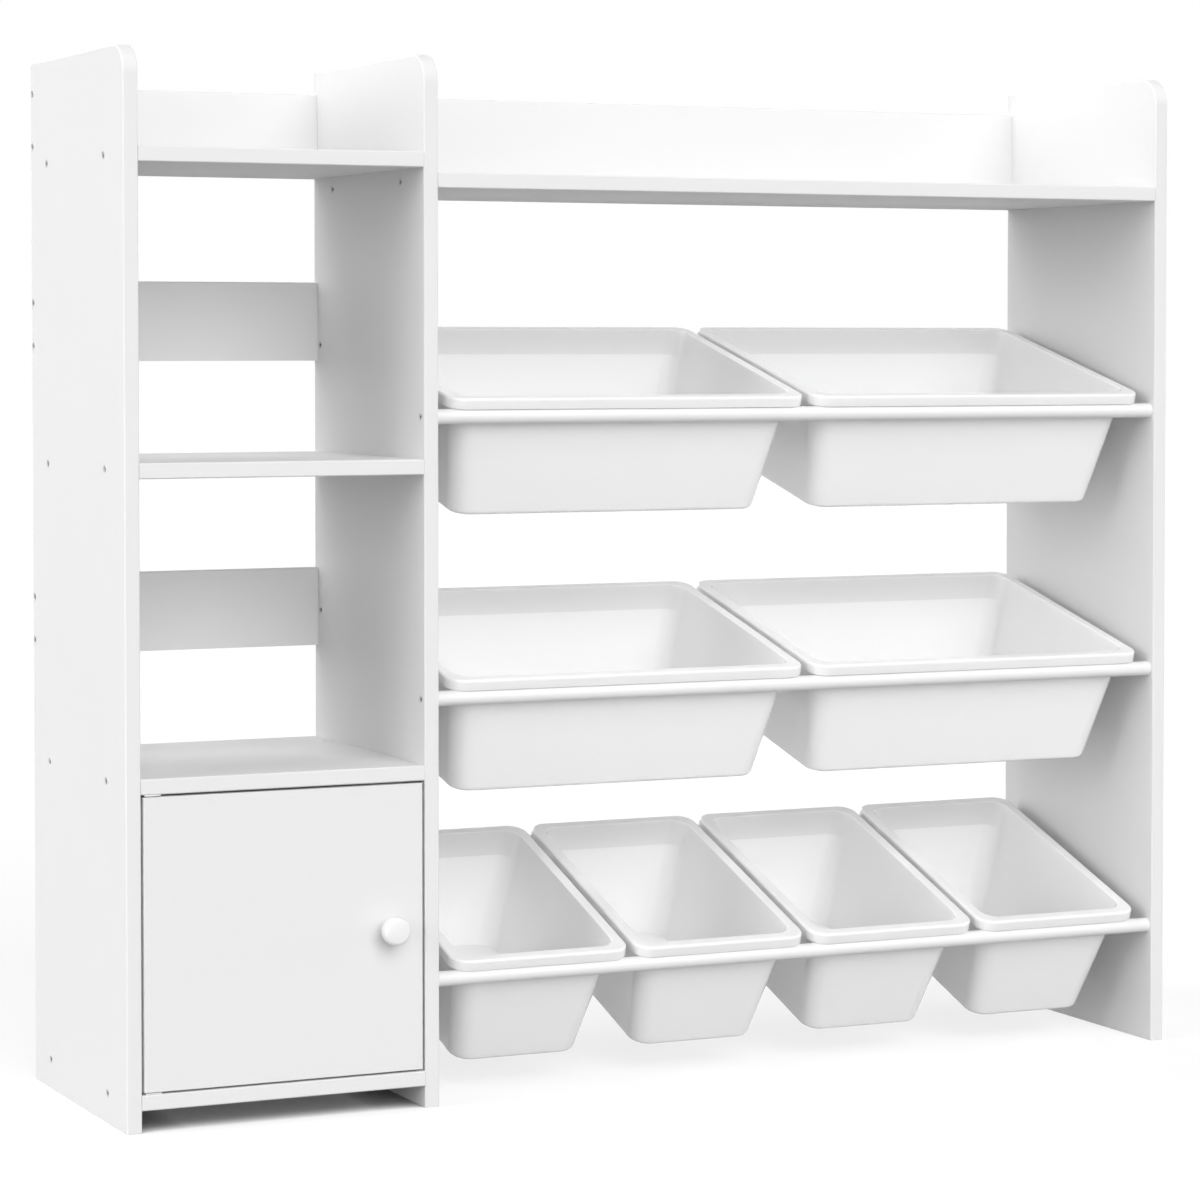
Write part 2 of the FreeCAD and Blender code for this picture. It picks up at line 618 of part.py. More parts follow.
def write_parts():
    """Write each sub-part's solid to a file of its own."""
    os.makedirs("parts", exist_ok=True)
    for body in bodies():
        body.Shape.exportStep(f"parts/{body.Label}.step")


def main():
    """Build every sub-part, check them all and write them."""
    carcass_boards()
    bin_rows()
    cabinet_door()
    door_pivots()
    door_knob()
    door_catch()
    doc.recompute()
    check_document()
    write_parts()


main()
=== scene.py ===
import json
import math

import bmesh
import bpy
from bpy.props import FloatProperty, FloatVectorProperty, IntProperty, PointerProperty
from mathutils import Matrix, Vector

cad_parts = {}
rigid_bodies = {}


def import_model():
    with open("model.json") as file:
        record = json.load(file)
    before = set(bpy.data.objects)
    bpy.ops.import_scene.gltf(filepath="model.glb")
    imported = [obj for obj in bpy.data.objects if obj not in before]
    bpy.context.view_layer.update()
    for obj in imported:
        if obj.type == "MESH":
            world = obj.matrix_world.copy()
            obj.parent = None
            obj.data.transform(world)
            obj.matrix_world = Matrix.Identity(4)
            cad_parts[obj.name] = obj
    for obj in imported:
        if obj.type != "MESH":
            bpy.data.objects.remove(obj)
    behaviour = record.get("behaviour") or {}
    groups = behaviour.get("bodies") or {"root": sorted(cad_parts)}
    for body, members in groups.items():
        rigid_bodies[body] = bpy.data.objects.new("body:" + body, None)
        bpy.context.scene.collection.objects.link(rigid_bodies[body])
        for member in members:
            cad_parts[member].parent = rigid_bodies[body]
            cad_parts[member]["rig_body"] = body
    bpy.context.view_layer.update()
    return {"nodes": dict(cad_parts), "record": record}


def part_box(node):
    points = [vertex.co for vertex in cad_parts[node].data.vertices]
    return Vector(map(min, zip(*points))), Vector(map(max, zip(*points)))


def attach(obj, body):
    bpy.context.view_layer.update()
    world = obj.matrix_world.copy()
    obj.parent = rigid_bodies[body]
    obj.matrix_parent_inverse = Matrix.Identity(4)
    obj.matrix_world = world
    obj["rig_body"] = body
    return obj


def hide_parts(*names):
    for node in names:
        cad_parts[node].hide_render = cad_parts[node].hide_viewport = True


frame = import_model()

bl_info = {
    "name": "Toy storage organizer",
    "version": (1, 0, 0),
    "blender": (4, 5, 0),
    "location": "View3D > Sidebar > Organizer",
    "description": "Builds the looks of a toy storage organizer and the studio that it stands in",
    "category": "Object",
}

MM = 0.001

PANELS = ("left_side_panel", "divider_panel", "right_side_panel")
TOWER_SHELVES = ("cabinet_bottom_shelf", "cabinet_top_shelf", "tower_middle_shelf", "tower_top_shelf")
BAY_SHELVES = ("bay_top_shelf",)
TOWER_RAILS = ("tower_lower_rail", "tower_upper_rail", "tower_top_rail")
BAY_RAILS = ("bay_top_rail",)
BACK_BOARD = "cabinet_back_board"
BOARDS = PANELS + TOWER_SHELVES + BAY_SHELVES + TOWER_RAILS + BAY_RAILS + (BACK_BOARD,)
BIN_ROWS = {
    "top": ("left", "right"),
    "middle": ("left", "right"),
    "bottom": ("first", "second", "third", "fourth"),
}
FITTINGS = (
    "lower_pivot_plate", "upper_pivot_plate", "lower_pivot_bush", "upper_pivot_bush",
    "catch_housing", "catch_magnet", "catch_strike_plate",
)
SLOTS = {part["node"]: part["material_slot"] for part in frame["record"]["subparts"]}

# Where each lamp stands and how wide it looks, in degrees: round to the right from the front, height, width.
LAMPS = {
    "front_lamp": (0, 30, 50),
    "left_lamp": (-90, 20, 45),
    "right_lamp": (90, 20, 45),
    "back_lamp": (180, 25, 30),
}

JOIN_DISTANCE = 0.01 * MM  # points nearer than this are one point
FLAT_BEND = math.radians(0.5)  # faces that bend less than this are one face
SHARP_BEND = math.radians(30)  # edges that bend more than this are rounded
SMOOTH_BEND = math.radians(40)  # faces that bend less than this are shaded as one
NARROW_FACE = 2 * MM  # faces narrower than this lie along a rounded edge
LARGE_FACES_ONLY = 100  # the weight at which the largest faces alone set the shading

SMALL_ROUND_STEPS, ROUND_STEPS, FACE_ROUND_STEPS, DOME_STEPS = 4, 6, 8, 6
SOCKET_SIDES = 6
QUARTER_TURN, HALF_TURN, FULL_TURN = math.pi / 2, math.pi, 2 * math.pi


def length(name, description, millimetres):
    """A length property whose default is given in millimetres."""
    return FloatProperty(name=name, description=description, default=millimetres * MM, min=0,
                         precision=5, subtype="DISTANCE", unit="LENGTH")


def share(name, description, default):
    """A property from 0 to 1."""
    return FloatProperty(name=name, description=description, default=default, min=0, max=1, subtype="FACTOR")


def brightness(name, description, default):
    """A property for the strength of a lamp or of the sky."""
    return FloatProperty(name=name, description=description, default=default, min=0)


def colour(name, description, grey):
    """A colour property whose default is a grey."""
    return FloatVectorProperty(name=name, description=description, default=(grey, grey, grey), min=0, max=1,
                               size=3, subtype="COLOR")


class BoardSettings(bpy.types.PropertyGroup):
    """Lacquered boards: panels, shelves, rails and door"""
    edge_round: length("Edge round", "How far a board's edges are rounded", 0.3)
    lacquer: colour("Lacquer", "Colour of the lacquer", 0.78)
    roughness: share("Roughness", "Roughness of the lacquer", 0.6)
    sheen: share("Sheen", "Strength of the lacquer's reflections", 0.12)
    edge_gloss: share("Edge gloss", "How much smoother the lacquer is along the edges", 0.2)


class RodSettings(bpy.types.PropertyGroup):
    """Round rods that carry the bins"""
    paint: colour("Paint", "Colour of the paint", 0.83)
    roughness: share("Roughness", "Roughness of the paint", 0.36)


class BinSettings(bpy.types.PropertyGroup):
    """Moulded bins with a turned-down rim"""
    height: length("Height", "Height from underside to rim", 127.5)
    wall: length("Wall", "Thickness of the walls", 2.4)
    floor: length("Floor", "Thickness of the floor", 3)
    taper: FloatProperty(name="Taper", description="Lean of the walls", default=math.radians(8.3),
                         subtype="ANGLE", unit="ROTATION")
    wall_corner: length("Wall corner", "Radius of the upright corners", 20)
    floor_round: length("Floor round", "Round between wall and underside", 4.5)
    inside_round: length("Inside round", "Round between wall and floor inside", 1.5)
    overhang: length("Rim overhang", "Reach of the rim past the axes of the rods", 4.1)
    rim_corner: length("Rim corner", "Radius of the rim's corners", 18)
    rim_round: length("Rim round", "Round along the rim's outer edge", 2.5)
    mouth_round: length("Mouth round", "Round along the rim's inner edge", 1.2)
    flange: length("Flange", "Thickness of the flat rim", 2.4)
    lip_height: length("Lip height", "Height of the turned-down lip", 11.2)
    lip_thickness: length("Lip thickness", "Thickness of the turned-down lip", 2.2)
    lip_round: length("Lip round", "Round along the lip's lower edge", 0.6)
    rest_clearance: length("Rest clearance", "Space between lip and rod", 0.3)
    rod_clearance: length("Rod clearance", "Space between wall and rod", 0.5)
    plastic: colour("Plastic", "Colour of the plastic", 0.95)
    roughness: share("Roughness", "Roughness of the plastic", 0.14)
    translucence: share("Translucence", "How much light spreads inside the walls", 0.85)
    light_reach: length("Light reach", "How far light spreads inside the walls", 3.5)
    # painted shade: how far the bins' colour is darkened where a rod or the lip stands behind a wall, in
    # place of their shadow
    show_through: share("Painted rod shade", "How dark the rods and the lip show through a wall", 0.1)
    # the painted shade fades out as the gap between wall and rod grows to this
    haze: length("Haze", "Gap behind a wall over which a rod blurs away", 10)
    corner_steps: IntProperty(name="Corner steps", description="Faces round a corner", default=12, min=3)


class KnobSettings(bpy.types.PropertyGroup):
    """Turned door knob"""
    neck_diameter: length("Neck diameter", "Diameter of the neck", 15)
    head_thickness: length("Head thickness", "Thickness of the disc head", 13.5)
    face_round: length("Face round", "Round of the head's front edge", 4.2)
    back_round: length("Back round", "Round of the head's back edge", 2.8)
    neck_round: length("Neck round", "Hollow round between neck and head", 1.6)
    face_dome: length("Face dome", "Rise of the face at its middle", 0.6)
    roughness: share("Roughness", "Roughness of the knob's paint", 0.32)
    turn_steps: IntProperty(name="Turn steps", description="Faces round the knob", default=72, min=12)


class FittingSettings(bpy.types.PropertyGroup):
    """Pivots and catch of the door"""
    edge_round: length("Edge round", "How far a fitting's edges are rounded", 0.15)


class ScrewSettings(bpy.types.PropertyGroup):
    """Sunk screws with a six-sided socket"""
    head_diameter: length("Head diameter", "Diameter of the screw heads", 7.4)
    head_depth: length("Head depth", "Depth of the screw heads", 2.6)
    head_bevel: length("Head bevel", "Bevel round the screw heads", 0.25)
    head_steps: IntProperty(name="Head steps", description="Faces round a screw head", default=32, min=8)
    socket_width: length("Socket width", "Width of the socket across its corners", 4.4)
    socket_depth: length("Socket depth", "Depth of the socket", 1.9)
    sink: length("Sink", "How far a head lies under the board's face", 0.8)
    hole_clearance: length("Hole clearance", "Space round a head in its hole", 0.3)
    small_scale: share("Small screws", "Size of the fittings' screws beside the boards' screws", 0.62)
    shelf_front: length("Shelf front", "From a panel's front edge to the shelves' front screws", 61)
    shelf_rear: length("Shelf rear", "From a panel's front edge to the shelves' rear screws", 247)
    rail_low: length("Rail low", "From a rail's lower edge to its lower screw", 15)
    rail_high: length("Rail high", "From a rail's upper edge to its upper screw", 23)
    top_rail_low: length("Top rail low", "From a top rail's lower edge to its lower screw", 11.5)
    top_rail_high: length("Top rail high", "From a top rail's upper edge to its upper screw", 8)
    plate_leaf: length("Plate leaf", "Thickness of a pivot plate under its screw", 1.5)
    plate_inset: length("Plate inset", "From a pivot plate's rear end to its screw", 7)
    catch_inset: length("Catch inset", "From the ends of the catch to its screws", 3.5)
    seed: IntProperty(name="Seed", description="Seed of the sockets' turns", default=4, min=0)


class StageSettings(bpy.types.PropertyGroup):
    """Camera, lamps and floor"""
    lens: FloatProperty(name="Lens", description="Focal length in millimetres", default=112.3138)
    place: FloatVectorProperty(name="Camera place", description="Where the camera stands",
                               default=(-1.65046, -3.49517, 0.74527), subtype="TRANSLATION", unit="LENGTH")
    yaw: FloatProperty(name="Yaw", description="Turn of the camera to the right", default=0.433005,
                       subtype="ANGLE", unit="ROTATION")
    pitch: FloatProperty(name="Pitch", description="Turn of the camera downwards", default=0.03664,
                         subtype="ANGLE", unit="ROTATION")
    shift: FloatVectorProperty(name="Shift", description="Shift of the lens to the right and up",
                               default=(0.008825, -0.1), size=2)
    front_sky: brightness("Front sky", "Strength of the even low light from in front", 1.5)
    back_sky: brightness("Back sky", "Strength of the even low light from behind", 1.6)
    high_sky: brightness("High sky", "Strength of the even light from above", 0.08)
    front_lamp: brightness("Front lamp", "Strength of the lamp in front", 2.18)
    left_lamp: brightness("Left lamp", "Strength of the lamp at the left", 2.05)
    right_lamp: brightness("Right lamp", "Strength of the lamp at the right", 0.55)
    back_lamp: brightness("Back lamp", "Strength of the lamp behind", 0.9)
    floor_tone: share("Floor tone", "How much light the floor throws back", 0.34)
    floor_glow: share("Floor glow", "How far the floor is lifted to white in the picture", 0.7)
    dark_gap: length("Dark gap", "Height of a gap over the floor in which shadows stay dark", 50)
    dark_until: share("Dark until", "Openness of the floor up to which it isn't lifted", 0.15)
    lifted_from: share("Lifted from", "Openness of the floor from which it is fully lifted", 0.5)
    sky_top: share("Sky top", "Height in the sky at which the low light ends", 0.5)
    sky_blend: share("Sky blend", "How far to each side front and back sky mix", 0.3)
    floor_reach: length("Floor reach", "From the middle of the floor to its edges", 30000)


class OrganizerSettings(bpy.types.PropertyGroup):
    """All settings of the organizer"""
    boards: PointerProperty(type=BoardSettings)
    rods: PointerProperty(type=RodSettings)
    bins: PointerProperty(type=BinSettings)
    knob: PointerProperty(type=KnobSettings)
    fittings: PointerProperty(type=FittingSettings)
    screws: PointerProperty(type=ScrewSettings)
    stage: PointerProperty(type=StageSettings)


def new_group(name, inputs, outputs):
    """An empty shader group with its sockets, and its input and output nodes."""
    group = bpy.data.node_groups.new(name, "ShaderNodeTree")
    for label, kind in inputs:
        group.interface.new_socket(label, in_out="INPUT", socket_type=kind)
    for label, kind in outputs:
        group.interface.new_socket(label, in_out="OUTPUT", socket_type=kind)
    return group, group.nodes.new("NodeGroupInput"), group.nodes.new("NodeGroupOutput")


def noise(tree, vector, scale, detail):
    """A noise texture's value at a place."""
    texture = tree.nodes.new("ShaderNodeTexNoise")
    texture.inputs["Detail"].default_value = detail
    tree.links.new(vector, texture.inputs["Vector"])
    if isinstance(scale, float):
        texture.inputs["Scale"].default_value = scale
    else:
        tree.links.new(scale, texture.inputs["Scale"])
    return texture.outputs["Fac"]


def math_node(tree, operation, first, second):
    """The result of a sum on two sockets or numbers."""
    node = tree.nodes.new("ShaderNodeMath")
    node.operation = operation
    for index, term in enumerate((first, second)):
        if isinstance(term, float):
            node.inputs[index].default_value = term
        else:
            tree.links.new(term, node.inputs[index])
    return node.outputs["Value"]


def dimmed(tree, tone, dimming):
    """A tone made darker by a share."""
    tint = tree.nodes.new("ShaderNodeMix")
    tint.data_type = "RGBA"
    tint.blend_type = "MULTIPLY"
    tint.inputs["Factor"].default_value = 1
    tree.links.new(tone, tint.inputs["A"])
    tree.links.new(math_node(tree, "SUBTRACT", 1.0, dimming), tint.inputs["B"])
    return tint.outputs["Result"]


def even_finish_group():
    """Paint or plastic: cloudy colour, uneven gloss and a fine grain."""
    group, given, result = new_group(
        "even_finish",
        [("Position", "NodeSocketVector"), ("Colour", "NodeSocketColor"), ("Cloudiness", "NodeSocketFloat"),
         ("Roughness", "NodeSocketFloat"), ("Unevenness", "NodeSocketFloat"), ("Grain", "NodeSocketFloat")],
        [("Colour", "NodeSocketColor"), ("Roughness", "NodeSocketFloat"), ("Height", "NodeSocketFloat")])
    clouds = noise(group, given.outputs["Position"], 6.0, 4.0)
    dimming = math_node(group, "MULTIPLY", clouds, given.outputs["Cloudiness"])
    group.links.new(dimmed(group, given.outputs["Colour"], dimming), result.inputs["Colour"])
    patches = noise(group, given.outputs["Position"], 35.0, 3.0)
    centred = math_node(group, "SUBTRACT", patches, 0.5)
    spread = math_node(group, "MULTIPLY", centred, given.outputs["Unevenness"])
    roughness = math_node(group, "ADD", given.outputs["Roughness"], spread)
    group.links.new(roughness, result.inputs["Roughness"])
    grain = noise(group, given.outputs["Position"], given.outputs["Grain"], 2.0)
    group.links.new(grain, result.inputs["Height"])
    return group


def worn_edge_group():
    """A broken mask along a board's eased edges, where the lacquer is rubbed smooth."""
    group, given, result = new_group(
        "worn_edge", [("Position", "NodeSocketVector")], [("Mask", "NodeSocketFloat")])
    edge = group.nodes.new("ShaderNodeAttribute")
    edge.attribute_name = "eased_edge"
    breaks = noise(group, given.outputs["Position"], 45.0, 3.0)
    mask = math_node(group, "MULTIPLY", edge.outputs["Fac"], breaks)
    group.links.new(mask, result.inputs["Mask"])
    return group


def long_grain_group():
    """Fine lines along the organizer's length, as on a planed rod or a drawn plate."""
    group, given, result = new_group(
        "long_grain", [("Position", "NodeSocketVector"), ("Fineness", "NodeSocketFloat")],
        [("Height", "NodeSocketFloat")])
    stretch = group.nodes.new("ShaderNodeMapping")
    stretch.inputs["Scale"].default_value = (0.02, 1, 1)
    group.links.new(given.outputs["Position"], stretch.inputs["Vector"])
    lines = noise(group, stretch.outputs["Vector"], given.outputs["Fineness"], 3.0)
    group.links.new(lines, result.inputs["Height"])
    return group


def shader_group(tree, builder):
    """A node that uses a shared group, made when first asked for."""
    name = builder.__name__.removesuffix("_group")
    node = tree.nodes.new("ShaderNodeGroup")
    node.node_tree = bpy.data.node_groups.get(name) or builder()
    return node


def new_material(name):
    """A material, its shader and its object coordinates."""
    material = bpy.data.materials.new(name)
    material.use_nodes = True
    shader = material.node_tree.nodes["Principled BSDF"]
    position = material.node_tree.nodes.new("ShaderNodeTexCoord").outputs["Object"]
    return material, shader, position


def set_bump(tree, shader, height, *, distance, strength):
    """Feed a height to a shader as a bump."""
    bump = tree.nodes.new("ShaderNodeBump")
    bump.inputs["Distance"].default_value = distance
    bump.inputs["Strength"].default_value = strength
    tree.links.new(height, bump.inputs["Height"])
    tree.links.new(bump.outputs["Normal"], shader.inputs["Normal"])


def set_finish(material, shader, position, *, tone, roughness, cloudiness, unevenness, grain):
    """Give a shader the even finish in one tone, and return the group's node."""
    tree = material.node_tree
    finish = shader_group(tree, even_finish_group)
    tree.links.new(position, finish.inputs["Position"])
    finish.inputs["Colour"].default_value = (*tone, 1)
    finish.inputs["Cloudiness"].default_value = cloudiness
    finish.inputs["Roughness"].default_value = roughness
    finish.inputs["Unevenness"].default_value = unevenness
    finish.inputs["Grain"].default_value = grain
    tree.links.new(finish.outputs["Colour"], shader.inputs["Base Color"])
    tree.links.new(finish.outputs["Roughness"], shader.inputs["Roughness"])
    return finish


def board_material(name, settings, cloudiness):
    """Satin lacquer on fibreboard, rubbed a little smoother along its edges."""
    material, shader, position = new_material(name)
    tree = material.node_tree
    finish = set_finish(material, shader, position, tone=settings.lacquer, roughness=settings.roughness,
                        cloudiness=cloudiness, unevenness=0.12, grain=900)
    worn = shader_group(tree, worn_edge_group)
    tree.links.new(position, worn.inputs["Position"])
    smoother = math_node(tree, "MULTIPLY", worn.outputs["Mask"], settings.edge_gloss)
    roughness = math_node(tree, "SUBTRACT", finish.outputs["Roughness"], smoother)
    tree.links.new(roughness, shader.inputs["Roughness"])
    shader.inputs["Specular IOR Level"].default_value = settings.sheen
    set_bump(tree, shader, finish.outputs["Height"], distance=0.05 * MM, strength=0.25)
    return material


def rod_material(settings):
    """Satin paint over a planed rod whose grain still shows faintly."""
    material, shader, position = new_material("white_rod_paint")
    tree = material.node_tree
    set_finish(material, shader, position, tone=settings.paint, roughness=settings.roughness,
               cloudiness=0.02, unevenness=0.1, grain=700)
    grain = shader_group(tree, long_grain_group)
    tree.links.new(position, grain.inputs["Position"])
    grain.inputs["Fineness"].default_value = 600
    set_bump(tree, shader, grain.outputs["Height"], distance=0.08 * MM, strength=0.2)
    return material


def bin_material(settings):
    """Moulded plastic with a soft gloss that lets light into its walls, with painted shade darkening its
    colour where a rod or the lip stands behind a wall.
    """
    material, shader, position = new_material("white_bin_plastic")
    tree = material.node_tree
    finish = set_finish(material, shader, position, tone=settings.plastic, roughness=settings.roughness,
                        cloudiness=0.02, unevenness=0.08, grain=500)
    # Painted shade: the colour is darkened along the walls where a rod or the lip stands behind them, in
    # place of their shadow seen through the plastic.
    wall = tree.nodes.new("ShaderNodeAttribute")
    wall.attribute_name = "backed_wall"
    shade = math_node(tree, "MULTIPLY", wall.outputs["Fac"], settings.show_through)
    tree.links.new(dimmed(tree, finish.outputs["Colour"], shade), shader.inputs["Base Color"])
    set_bump(tree, shader, finish.outputs["Height"], distance=0.05 * MM, strength=0.1)
    shader.inputs["Subsurface Weight"].default_value = settings.translucence
    shader.inputs["Subsurface Radius"].default_value = (1, 1, 1)
    shader.inputs["Subsurface Scale"].default_value = settings.light_reach
    return material


def knob_material(settings, paint):
    """Paint on the turned knob, a little glossier than the rods."""
    material, shader, position = new_material("white_knob_paint")
    finish = set_finish(material, shader, position, tone=paint, roughness=settings.roughness,
                        cloudiness=0.02, unevenness=0.1, grain=800)
    set_bump(material.node_tree, shader, finish.outputs["Height"], distance=0.05 * MM, strength=0.2)
    return material


def steel_material():
    """Zinc-plated steel with drawn lines."""
    material, shader, position = new_material("plated_steel_finish")
    tree = material.node_tree
    set_finish(material, shader, position, tone=(0.72, 0.72, 0.73), roughness=0.34,
               cloudiness=0.15, unevenness=0.2, grain=900)
    shader.inputs["Metallic"].default_value = 1
    lines = shader_group(tree, long_grain_group)
    tree.links.new(position, lines.inputs["Position"])
    lines.inputs["Fineness"].default_value = 2500
    set_bump(tree, shader, lines.outputs["Height"], distance=0.03 * MM, strength=0.3)
    return material


def nylon_material():
    """Matt moulded nylon."""
    material, shader, position = new_material("white_nylon_finish")
    finish = set_finish(material, shader, position, tone=(0.85, 0.85, 0.83), roughness=0.55,
                        cloudiness=0.03, unevenness=0.1, grain=1200)
    set_bump(material.node_tree, shader, finish.outputs["Height"], distance=0.04 * MM, strength=0.3)
    return material


def magnet_material():
    """Pressed ferrite."""
    material, shader, position = new_material("dark_magnet_finish")
    finish = set_finish(material, shader, position, tone=(0.05, 0.05, 0.055), roughness=0.6,
                        cloudiness=0.3, unevenness=0.2, grain=1500)
    set_bump(material.node_tree, shader, finish.outputs["Height"], distance=0.08 * MM, strength=0.5)
    return material


def settle(piece):
    """Bake a piece's modifiers into a plain mesh."""
    graph = bpy.context.evaluated_depsgraph_get()
    baked = bpy.data.meshes.new_from_object(piece.evaluated_get(graph), preserve_all_data_layers=True,
                                            depsgraph=graph)
    piece.modifiers.clear()
    old = piece.data
    piece.data = baked
    bpy.data.meshes.remove(old)
    baked.name = piece.name


def new_piece(name, form, material):
    """An object with a finished mesh, smooth where its faces bend gently."""
    mesh = bpy.data.meshes.new(name)
    for face in form.faces:
        face.smooth = True
    for edge in form.edges:
        edge.smooth = edge.is_manifold and edge.calc_face_angle() < SMOOTH_BEND
    form.to_mesh(mesh)
    form.free()
    mesh.materials.append(material)
    piece = bpy.data.objects.new(name, mesh)
    bpy.context.scene.collection.objects.link(piece)
    return piece


def even_normals(piece):
    """Shade a piece by its larger faces, so that flat faces stay flat beside their rounds."""
    weighted = piece.modifiers.new("even_normals", "WEIGHTED_NORMAL")
    weighted.keep_sharp = True
    weighted.weight = LARGE_FACES_ONLY
    settle(piece)


def hand_over(piece, node):
    """Let a piece stand for a CAD node, on its body."""
    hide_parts(node)
    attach(piece, frame["nodes"][node]["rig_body"])


def merged_form(node):
    """A CAD node's own shape with its triangles joined into whole faces."""
    form = bmesh.new()
    form.from_mesh(frame["nodes"][node].data)
    bmesh.ops.remove_doubles(form, verts=form.verts, dist=JOIN_DISTANCE)
    bmesh.ops.dissolve_limit(form, angle_limit=FLAT_BEND, verts=form.verts, edges=form.edges)
    return form


def soften(form, width):
    """Round a form's sharp edges and mark the narrow faces along them."""
    sharp = [edge for edge in form.edges if edge.is_manifold and edge.calc_face_angle() > SHARP_BEND]
    bmesh.ops.bevel(form, geom=sharp, offset=width, offset_type="OFFSET", segments=2, profile=0.5,
                    affect="EDGES", clamp_overlap=True)
    eased = form.faces.layers.float.new("eased_edge")
    for face in form.faces:
        longest = max(edge.calc_length() for edge in face.edges)
        face[eased] = 1.0 if face.calc_area() / longest < NARROW_FACE else 0.0


def middle(node):
    """The middle of a CAD node's box."""
    low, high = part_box(node)
    return (low + high) / 2


def screw_places(settings):
    """Where the boards' screws are: panel, which way they face, and place on the panel's face."""
    places = []
    for panel, facing, shelves, rails, rods in (
            ("left_side_panel", -1, TOWER_SHELVES, TOWER_RAILS, False),
            ("divider_panel", 1, TOWER_SHELVES, TOWER_RAILS, False),
            ("divider_panel", -1, BAY_SHELVES, (), True),
            ("right_side_panel", 1, BAY_SHELVES, BAY_RAILS, True)):
        low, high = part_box(panel)
        face = low.x if facing < 0 else high.x
        spots = [(low.y + inset, middle(shelf).z)
                 for shelf in shelves for inset in (settings.shelf_front, settings.shelf_rear)]
        for rail in rails:
            bottom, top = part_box(rail)
            across = middle(rail).y
            if rail.endswith("top_rail"):
                up, down = settings.top_rail_low, settings.top_rail_high
            else:
                up, down = settings.rail_low, settings.rail_high
            spots += [(across, bottom.z + up), (across, top.z - down)]
        if rods:
            axes = [middle(f"{row}_row_{end}_rod") for row in BIN_ROWS for end in ("front", "rear")]
            spots += [(axis.y, axis.z) for axis in axes]
        places += [(panel, facing, Vector((face, across, level))) for across, level in spots]
    return places


def drill(piece, places, settings):
    """Sink a round hole for each screw head."""
    form = bmesh.new()
    depth = settings.head_depth + settings.sink
    radius = settings.head_diameter / 2 + settings.hole_clearance
    for _, _, place in places:
        turned = Matrix.Translation(place) @ Matrix.Rotation(QUARTER_TURN, 4, "Y")
        bmesh.ops.create_cone(form, cap_ends=True, segments=settings.head_steps, radius1=radius,
                              radius2=radius, depth=2 * depth, matrix=turned)
    drills = new_piece(f"{piece.name}_drills", form, piece.data.materials[0])
    cut = piece.modifiers.new("screw_holes", "BOOLEAN")
    cut.object = drills
    cut.solver = "EXACT"
    settle(piece)
    bpy.data.objects.remove(drills)


class ORGANIZER_OT_boards(bpy.types.Operator):
    """Build the panels, shelves, rails and back board"""
    bl_idname = "organizer.boards"
    bl_label = "Boards"

    def execute(self, context):
        settings = context.scene.organizer
        lacquer = board_material("white_board_lacquer", settings.boards, 0.02)
        film = board_material("white_back_board_film", settings.boards, 0.05)
        places = screw_places(settings.screws)
        for node in BOARDS:
            form = merged_form(node)
            soften(form, settings.boards.edge_round)
            piece = new_piece(f"painted_{node}", form, film if node == BACK_BOARD else lacquer)
            holes = [place for place in places if place[0] == node]
            if holes:
                drill(piece, holes, settings.screws)
            even_normals(piece)
            hand_over(piece, node)
        return {"FINISHED"}


class ORGANIZER_OT_rods(bpy.types.Operator):
    """Build the rods that carry the bins"""
    bl_idname = "organizer.rods"
    bl_label = "Rods"

    def execute(self, context):
        paint = rod_material(context.scene.organizer.rods)
        for row in BIN_ROWS:
            for end in ("front", "rear"):
                node = f"{row}_row_{end}_rod"
                piece = new_piece(f"painted_{node}", merged_form(node), paint)
                even_normals(piece)
                hand_over(piece, node)
        return {"FINISHED"}


def arc(centre_across, centre_level, radius, start, end, steps=SMALL_ROUND_STEPS):
    """Points of a round in a section: place across, and level."""
    angles = [start + (end - start) * step / steps for step in range(steps + 1)]
    return [(centre_across + radius * math.cos(angle), centre_level + radius * math.sin(angle))
            for angle in angles]


